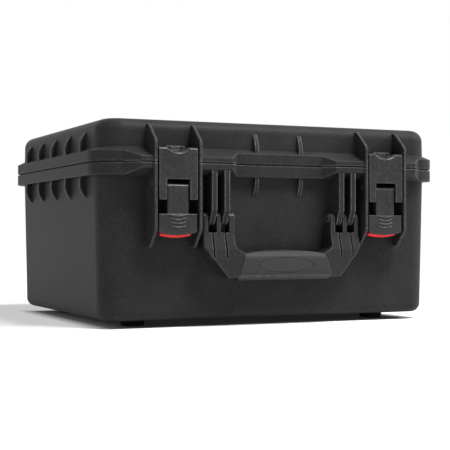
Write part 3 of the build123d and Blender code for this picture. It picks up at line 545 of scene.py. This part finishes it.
# %% Grow a piece from a tree
def grow(name, tree, values, start_mesh=None):
    """Runs a tree and returns its result as a plain mesh object at the origin."""
    base_mesh = start_mesh or bpy.data.meshes.new(name + "_start")
    base = bpy.data.objects.new(name + "_start", base_mesh)
    bpy.context.scene.collection.objects.link(base)
    modifier = base.modifiers.new("grow", "NODES")
    modifier.node_group = tree
    sockets = {
        item.name: item.identifier for item in tree.interface.items_tree if item.in_out == "INPUT"
    }
    for label, value in values.items():
        modifier[sockets[label]] = value
    bpy.context.view_layer.update()
    evaluated = base.evaluated_get(bpy.context.evaluated_depsgraph_get())
    mesh = bpy.data.meshes.new_from_object(evaluated)
    bpy.data.objects.remove(base)
    mesh.name = name
    piece = bpy.data.objects.new(name, mesh)
    bpy.context.scene.collection.objects.link(piece)
    return piece


def triangles(piece):
    """How many triangles a piece has."""
    piece.data.calc_loop_triangles()
    return len(piece.data.loop_triangles)


print("growing ready")

# %% [markdown]
# The seal is a length of rubber profile that lies in the lid's groove and runs round
# the whole rim. It could be an extruded ring, but a profile swept along a path is what
# the real one is. The path and the profile are both rectangles with filleted corners,
# so one helper draws them, and the seal's solid gives their lengths.

# %% Tree of the rim seal
CORNER_STEPS_OF_PATH = 12
CORNER_STEPS_OF_LIP = 4


def filleted_rectangle(tree, width, height, corner, steps):
    """A closed curve: a rectangle with filleted corners."""
    plain = add(tree, "GeometryNodeCurvePrimitiveQuadrilateral", {"Width": width, "Height": height})
    inputs = {"Curve": plain.outputs[0], "Count": steps, "Radius": corner}
    return add(tree, "GeometryNodeFilletCurve", inputs, mode="POLY").outputs[0]


seal_tree, size, output = start_tree(
    "seal_path", ("Length", "Depth", "Corner", "Profile Width", "Profile Height", "Lip", "Lift")
)
path = filleted_rectangle(
    seal_tree, size["Length"], size["Depth"], size["Corner"], CORNER_STEPS_OF_PATH
)
profile = filleted_rectangle(
    seal_tree, size["Profile Width"], size["Profile Height"], size["Lip"], CORNER_STEPS_OF_LIP
)
swept = add(seal_tree, "GeometryNodeCurveToMesh", {"Curve": path, "Profile Curve": profile})
swept = add(seal_tree, "GeometryNodeTransform", {
    "Geometry": swept.outputs[0], "Translation": combined(seal_tree, Z=size["Lift"]),
})
end_tree(seal_tree, swept.outputs[0], size["Finish"], output)
print("seal tree ready")

# %% Rim seal
SEAL_WIDE = 4.6 * MM
SEAL_CORNER = 26.0 * MM
SEAL_LIP = 1.0 * MM
seal_low, seal_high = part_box("rim_seal")

seal = grow("rim_seal_profile", seal_tree, {
    "Length": seal_high.x - seal_low.x - SEAL_WIDE, "Depth": seal_high.y - seal_low.y - SEAL_WIDE,
    "Corner": SEAL_CORNER, "Profile Width": SEAL_WIDE, "Profile Height": seal_high.z - seal_low.z,
    "Lip": SEAL_LIP, "Lift": (seal_low.z + seal_high.z) / 2, "Finish": seal_rubber,
})
seal.data.shade_smooth()
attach(seal, "lid")
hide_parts("rim_seal")
print("seal", triangles(seal), "triangles")

# %% [markdown]
# The lid holds a sheet of convoluted foam, the egg-crate kind, cut by pressing a block
# between two studded rollers. Its face is a wave in both directions, so a formula says
# it better than any sculpting: a block with a fine grid on its face, and a tree that
# lifts each point of that face by the wave. The block comes first. Two small helpers
# serve it and every other shape that is skinned from rings.

# %% Mesh helpers
def join_rings(shape, rings):
    """Bands of faces between closed rings of corners, in order."""
    for low, high in zip(rings, rings[1:]):
        for index in range(len(low)):
            after = (index + 1) % len(low)
            shape.faces.new((low[index], low[after], high[after], high[index]))


def plain_mesh(shape, name):
    """The finished shape as a named mesh."""
    mesh = bpy.data.meshes.new(name)
    shape.to_mesh(mesh)
    shape.free()
    return mesh


print("mesh helpers ready")

# %% [markdown]
# The foam fills the lid up to its round corners, so the grid has to turn them too. A
# point that lies past both straight runs is pulled onto an arc, as far out as the larger
# of its two distances, which bends the square cells into rings round each corner.

# %% Grid of the egg-crate block
FOAM_CORNER = 21.4 * MM
CRATE_EDGE = 3.0 * MM
CRATE_STEP = 3.0 * MM
crate_low, crate_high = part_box("lid_foam")
COLUMNS = round(2 * crate_high.x / CRATE_STEP)
ROWS = round(2 * crate_high.y / CRATE_STEP)


def crate_point(column, row, level, inset):
    """A point of the grid, drawn in by the inset, where the corners are round in plan."""
    reach_x, reach_y = crate_high.x - inset, crate_high.y - inset
    flat_x, flat_y = reach_x - FOAM_CORNER, reach_y - FOAM_CORNER
    point = Vector(((2 * column / COLUMNS - 1) * reach_x, (2 * row / ROWS - 1) * reach_y))
    inner = Vector((max(-flat_x, min(flat_x, point.x)), max(-flat_y, min(flat_y, point.y))))
    past = point - inner
    if past.x and past.y:
        point = inner + past.normalized() * max(abs(past.x), abs(past.y))
    return (point.x, point.y, level)


def crate_grid(shape, level, faces_down):
    """A grid of corners at one level, with the faces between them."""
    grid = [
        [shape.verts.new(crate_point(column, row, level, CRATE_EDGE)) for row in range(ROWS + 1)]
        for column in range(COLUMNS + 1)
    ]
    for column in range(COLUMNS):
        for row in range(ROWS):
            face = [
                grid[column][row], grid[column][row + 1],
                grid[column + 1][row + 1], grid[column + 1][row],
            ]
            shape.faces.new(face if faces_down else face[::-1])
    return grid


print("crate grid", COLUMNS, "by", ROWS)

# %% [markdown]
# The block has such a grid below and another above, both drawn in a little. Two full
# rings between them make the upright sides, and the bands from the grids to those rings
# are the soft edge.

# %% Block for the egg-crate foam
def crate_block():
    """The closed block: a grid below, a grid above, and the rings that join their borders."""
    block = bmesh.new()
    lower = crate_grid(block, crate_low.z, faces_down=True)
    upper = crate_grid(block, crate_high.z, faces_down=False)
    border = [(column, 0) for column in range(COLUMNS)] + [(COLUMNS, row) for row in range(ROWS)]
    border += [(column, ROWS) for column in range(COLUMNS, 0, -1)]
    border += [(0, row) for row in range(ROWS, 0, -1)]
    rings = [[lower[column][row] for column, row in border]]
    for level in (crate_low.z + CRATE_EDGE, crate_high.z - CRATE_EDGE):
        rings.append([block.verts.new(crate_point(*place, level, 0.0)) for place in border])
    rings.append([upper[column][row] for column, row in border])
    join_rings(block, rings)
    return plain_mesh(block, "egg_crate_start")


crate_start = crate_block()
print("crate block of", len(crate_start.polygons), "faces")

# %% [markdown]
# The wave is one minus the product of two cosines, halved, so it runs from zero at a
# stud's tip to one in a hollow. Near the border it dies out, because the sheet is
# trimmed there. Only the points of the lower face are lifted.

# %% Egg-crate foam of the lid
CONE_PITCH = 27.0 * MM
CONE_HEIGHT = 11.0 * MM
CRATE_MARGIN = 14.0 * MM
FADE_STARTS = 0.3
FACE_REACH = 0.1 * MM

crate_tree, size, output = start_tree(
    "egg_crate",
    ("Cone Pitch", "Cone Height", "Face Level", "Half Length", "Half Depth", "Margin"),
)
here = add(crate_tree, "GeometryNodeInputPosition").outputs[0]
where = add(crate_tree, "ShaderNodeSeparateXYZ", {0: here}).outputs
cosines = []
for axis in (0, 1):
    turns = maths(crate_tree, "MULTIPLY", where[axis], 2 * math.pi)
    cosines.append(maths(crate_tree, "COSINE", maths(crate_tree, "DIVIDE", turns, size["Cone Pitch"])))
wave = maths(crate_tree, "MULTIPLY_ADD", maths(crate_tree, "MULTIPLY", *cosines), -0.5, 0.5)
to_side = maths(crate_tree, "SUBTRACT", size["Half Length"], maths(crate_tree, "ABSOLUTE", where[0]))
to_end = maths(crate_tree, "SUBTRACT", size["Half Depth"], maths(crate_tree, "ABSOLUTE", where[1]))
nearest = maths(crate_tree, "DIVIDE", maths(crate_tree, "MINIMUM", to_side, to_end), size["Margin"])
fade = rescale(crate_tree, nearest, FADE_STARTS, 1.0, interpolation_type="SMOOTHSTEP")
rise = maths(crate_tree, "MULTIPLY", maths(crate_tree, "MULTIPLY", wave, fade), size["Cone Height"])
face_top = maths(crate_tree, "ADD", size["Face Level"], FACE_REACH)
moved = add(crate_tree, "GeometryNodeSetPosition", {
    "Geometry": size["Geometry"], "Selection": maths(crate_tree, "LESS_THAN", where[2], face_top),
    "Offset": combined(crate_tree, Z=rise),
})
end_tree(crate_tree, moved.outputs[0], size["Finish"], output)

crate = grow("egg_crate_foam", crate_tree, {
    "Cone Pitch": CONE_PITCH, "Cone Height": CONE_HEIGHT, "Face Level": crate_low.z,
    "Half Length": crate_high.x, "Half Depth": crate_high.y, "Margin": CRATE_MARGIN,
    "Finish": foam_finish,
}, crate_start)
crate.data.shade_smooth()
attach(crate, "lid")
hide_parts("lid_foam")
print("egg-crate foam", triangles(crate), "triangles")

# %% [markdown]
# The base holds a block of the same foam with a pocket cut for the laser. A hot wire
# leaves the pocket's edge slightly rounded. The block could be cut out by a boolean, but
# it is skinned from rings here, because rings give it soft edges and even faces. Each
# ring is a rectangle with round corners, and its straight runs are divided so that the
# unevenness of the next step has points to move.

# %% Ring of the foam block
ROUND_STEPS = 10
STRAIGHT_PARTS = 16


def rounded_outline(half_x, half_y, corner):
    """Points of a rectangle with round corners, counter-clockwise."""
    points = []
    for turn, (side_x, side_y) in enumerate(((1, 1), (-1, 1), (-1, -1), (1, -1))):
        centre = Vector((side_x * (half_x - corner), side_y * (half_y - corner)))
        for step in range(ROUND_STEPS + 1):
            angle = math.pi / 2 * (turn + step / ROUND_STEPS)
            points.append(centre + corner * Vector((math.cos(angle), math.sin(angle))))
    return points


def foam_ring(half_x, half_y, corner, level):
    """A ring of points at one level, with extra points along its straight runs."""
    outline = rounded_outline(half_x, half_y, corner)
    ring = []
    for index, point in enumerate(outline):
        after = outline[(index + 1) % len(outline)]
        parts = STRAIGHT_PARTS if (index + 1) % (ROUND_STEPS + 1) == 0 else 1
        for part in range(parts):
            between = point.lerp(after, part / parts)
            ring.append((between.x, between.y, level))
    return ring


print("a foam ring has", 4 * (ROUND_STEPS + STRAIGHT_PARTS), "points")

# %% [markdown]
# The rings run as on a cake tin: up the outside, which leans like the wall of the shell,
# over the top, down into the pocket and in over its floor.

# %% Block with a pocket for the base
POCKET_HALF = Vector((150.0, 115.0)) * MM
POCKET_CORNER = 20.0 * MM
POCKET_FLOOR = 37.0 * MM
POCKET_WALL_RINGS = 7
POCKET_FLOOR_SHARES = (0.85, 0.6, 0.35, 0.12)
BLOCK_EDGE = 2.5 * MM
BLOCK_LEAN = math.radians(1.2)
block_low, block_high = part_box("base_foam")


def block_rings():
    """The rings of the foam block, from its underside to the middle of the pocket's floor."""
    low, high, edge = block_low.z, block_high.z, BLOCK_EDGE
    lean = (high - low) * math.tan(BLOCK_LEAN)
    outside = (
        (lean + 3 * edge, low), (lean + edge, low + edge / 3), (lean, low + 2 * edge),
        (0.0, high - edge), (edge / 3, high - edge / 3), (edge, high),
    )
    rings = [
        foam_ring(block_high.x - inset, block_high.y - inset, FOAM_CORNER, level)
        for inset, level in outside
    ]
    across, along = POCKET_HALF
    rings.append(foam_ring(across + edge, along + edge, POCKET_CORNER + edge, high))
    rings.append(foam_ring(across + edge / 3, along + edge / 3, POCKET_CORNER, high - edge / 3))
    wall_top = high - edge
    for step in range(POCKET_WALL_RINGS + 1):
        level = wall_top + (POCKET_FLOOR - wall_top) * step / POCKET_WALL_RINGS
        rings.append(foam_ring(across, along, POCKET_CORNER, level))
    for share in POCKET_FLOOR_SHARES:
        rings.append(foam_ring(across * share, along * share, POCKET_CORNER * share, POCKET_FLOOR))
    return rings


def skin_rings(shape, rings):
    """Joins closed rings of points by bands of faces, and returns their corners."""
    corners = [[shape.verts.new(point) for point in ring] for ring in rings]
    join_rings(shape, corners)
    return corners


block_shape = bmesh.new()
block_corners = skin_rings(block_shape, block_rings())
block_shape.faces.new(block_corners[0][::-1])
block_shape.faces.new(block_corners[-1])
bmesh.ops.recalc_face_normals(block_shape, faces=block_shape.faces)
block_start = plain_mesh(block_shape, "foam_block_start")
print("block of", len(block_corners), "rings")

# %% [markdown]
# Soft foam never stays quite flat, so a tree presses a slow unevenness of a few tenths
# of a millimetre into the block. Noise gives the pattern. Its middle is half, and the
# level of no change lies above that, so nearly all points move inwards, away from the
# shell.

# %% Foam block of the base
UNEVEN_DEPTH = 0.9 * MM
LUMPS_PER_METRE = 38.0
LEVEL_OF_NO_CHANGE = 0.75

uneven_tree, size, output = start_tree("foam_unevenness", ("Depth", "Spread"))
finer = add(uneven_tree, "GeometryNodeSubdivideMesh", {"Mesh": size["Geometry"], "Level": 1})
here = add(uneven_tree, "GeometryNodeInputPosition").outputs[0]
uneven = add(
    uneven_tree, "ShaderNodeTexNoise", {"Vector": here, "Scale": size["Spread"], "Detail": 2.0}
).outputs[0]
pressed = maths(
    uneven_tree, "MULTIPLY", maths(uneven_tree, "SUBTRACT", uneven, LEVEL_OF_NO_CHANGE), size["Depth"]
)
outward = add(uneven_tree, "GeometryNodeInputNormal").outputs[0]
offset = add(uneven_tree, "ShaderNodeVectorMath", {0: outward, "Scale": pressed}, operation="SCALE")
softened = add(
    uneven_tree, "GeometryNodeSetPosition", {"Geometry": finer.outputs[0], "Offset": offset.outputs[0]}
)
end_tree(uneven_tree, softened.outputs[0], size["Finish"], output)

block = grow("foam_block", uneven_tree, {
    "Depth": UNEVEN_DEPTH, "Spread": LUMPS_PER_METRE, "Finish": foam_finish,
}, block_start)
block.data.shade_smooth()
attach(block, "case")
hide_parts("base_foam")
print("foam block", triangles(block), "triangles")

# %% [markdown]
# The lid carries a small pad behind each latch. The user presses a thumb on it through
# the notch of the draw plate, so the moulder gives it four short ribs. They are one
# round bar that a tree repeats up the pad, with its count and pitch as named inputs.
# Each bar has its middle in the pad's face, so half of it stands out.

# %% Thumb ribs on the lid
RIB_COUNT = 4
RIB_PITCH = 1.35 * MM
RIB_LENGTH = 11.0 * MM
RIB_RADIUS = 0.42 * MM
RIB_SIDES = 12
PAD_FRONT = 178.5 * MM
LOWEST_RIB_BELOW_PLATE_TOP = 3.25 * MM

rib_tree, size, output = start_tree(
    "thumb_ribs", ("Pitch", "Length", "Radius", "Middle", "Front", "Lowest"), counts=("Count",)
)
bar = add(rib_tree, "GeometryNodeMeshCylinder", {
    "Vertices": RIB_SIDES, "Radius": size["Radius"], "Depth": size["Length"],
})
along_x = (0, math.pi / 2, 0)
bar = add(rib_tree, "GeometryNodeTransform", {"Geometry": bar.outputs[0], "Rotation": along_x})
row = add(rib_tree, "GeometryNodeMeshLine", {
    "Count": size["Count"],
    "Start Location": combined(rib_tree, X=size["Middle"], Y=size["Front"], Z=size["Lowest"]),
    "Offset": combined(rib_tree, Z=size["Pitch"]),
})
repeated = add(
    rib_tree, "GeometryNodeInstanceOnPoints", {"Points": row.outputs[0], "Instance": bar.outputs[0]}
)
end_tree(rib_tree, repeated.outputs[0], size["Finish"], output)

for word in ("left", "right"):
    plate_low, plate_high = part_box(f"draw_plate_{word}")
    ribs = grow(f"thumb_ribs_{word}", rib_tree, {
        "Count": RIB_COUNT, "Pitch": RIB_PITCH, "Length": RIB_LENGTH, "Radius": RIB_RADIUS,
        "Middle": (plate_low.x + plate_high.x) / 2, "Front": -PAD_FRONT,
        "Lowest": plate_high.z - LOWEST_RIB_BELOW_PLATE_TOP, "Finish": latch_plastic,
    })
    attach(ribs, "lid")
    print("ribs", word, triangles(ribs), "triangles")

# %% [markdown]
# The grip has a plain oval in its front. The solid has a recess with straight sides
# there, and an inlay turns it into a true oval: a collar fills the recess out to the
# grip's own curve, and an oval plate lies in it with a fine dark joint all round. Both
# are skinned from rings. A ring lies on the grip's curved face, sunk a little, or on one
# flat level, and it runs round an oval or round the recess with its half-circle ends.

# %% Rings of the oval
RECESS_HALF = Vector((35.0, 8.65)) * MM
RECESS_FLOOR = 0.8 * MM
GRIP_CORNER = 10.5 * MM
OVAL_STEPS = 96
grip_low, grip_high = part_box("handle_grip")
GRIP_MIDDLE = (grip_low.z + grip_high.z) / 2
GRIP_FLAT_HALF = (grip_high.z - grip_low.z) / 2 - GRIP_CORNER


def grip_front(rise):
    """How far forward the grip's front face is at a height above its middle."""
    past_flat = max(0.0, abs(rise) - GRIP_FLAT_HALF)
    return grip_low.y + GRIP_CORNER - math.sqrt(GRIP_CORNER**2 - past_flat**2)


def inlay_ring(half, sink=0.0, level=None, straight_sides=False):
    """Points round an oval or round the recess, on the grip's face or on one flat level."""
    points = []
    for step in range(OVAL_STEPS):
        angle = 2 * math.pi * step / OVAL_STEPS
        across, rise = half.x * math.cos(angle), half.y * math.sin(angle)
        if straight_sides:
            past = max(0.0, abs(across) - (half.x - half.y))
            rise = math.copysign(math.sqrt(max(0.0, half.y**2 - past**2)), rise)
        depth = grip_front(rise) + sink if level is None else level
        points.append((across, depth, GRIP_MIDDLE + rise))
    return points


print("grip middle at", round(GRIP_MIDDLE, 4))

# %% [markdown]
# The collar is one closed band: up the recess's wall, over the grip's face, down the
# oval hole and back along the floor. The plate is closed by a face at its back and a
# small one in the middle of its front. An eased edge on both catches the light.

# %% Bare oval in the grip
OVAL_HALF = Vector((33.6, 8.1)) * MM
JOINT = 0.55 * MM
INLAY_PLAY = 0.05 * MM
EASED = 0.25 * MM
PLATE_SHARES = (1.0, 0.8, 0.6, 0.4, 0.2)
WELD = 0.001 * MM


def grown(half, by):
    """The half sizes of a ring that lies outside another by a distance, or inside it."""
    return half + Vector((by, by))


floor_level = grip_low.y + RECESS_FLOOR - INLAY_PLAY
collar_half = grown(RECESS_HALF, -INLAY_PLAY)
plate_half = grown(OVAL_HALF, -JOINT)
inlay = bmesh.new()
skin_rings(inlay, [
    inlay_ring(collar_half, level=floor_level, straight_sides=True),
    inlay_ring(collar_half, sink=INLAY_PLAY, straight_sides=True),
    inlay_ring(grown(OVAL_HALF, EASED), sink=INLAY_PLAY),
    inlay_ring(OVAL_HALF, sink=INLAY_PLAY + EASED),
    inlay_ring(OVAL_HALF, level=floor_level),
    inlay_ring(collar_half, level=floor_level, straight_sides=True),
])
plate_face = grown(plate_half, -EASED)
plate_corners = skin_rings(inlay, [
    inlay_ring(plate_half, level=floor_level),
    inlay_ring(plate_half, sink=INLAY_PLAY + EASED),
    *[inlay_ring(plate_face * share, sink=INLAY_PLAY) for share in PLATE_SHARES],
])
inlay.faces.new(plate_corners[0][::-1])
inlay.faces.new(plate_corners[-1])
bmesh.ops.remove_doubles(inlay, verts=inlay.verts, dist=WELD)
bmesh.ops.recalc_face_normals(inlay, faces=inlay.faces)
inlay_mesh = plain_mesh(inlay, "grip_inlay")
inlay_mesh.materials.append(grip_rubber)
grip_inlay = bpy.data.objects.new("grip_inlay", inlay_mesh)
bpy.context.scene.collection.objects.link(grip_inlay)
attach(grip_inlay, "handle")
print("oval inlay", triangles(grip_inlay), "triangles")
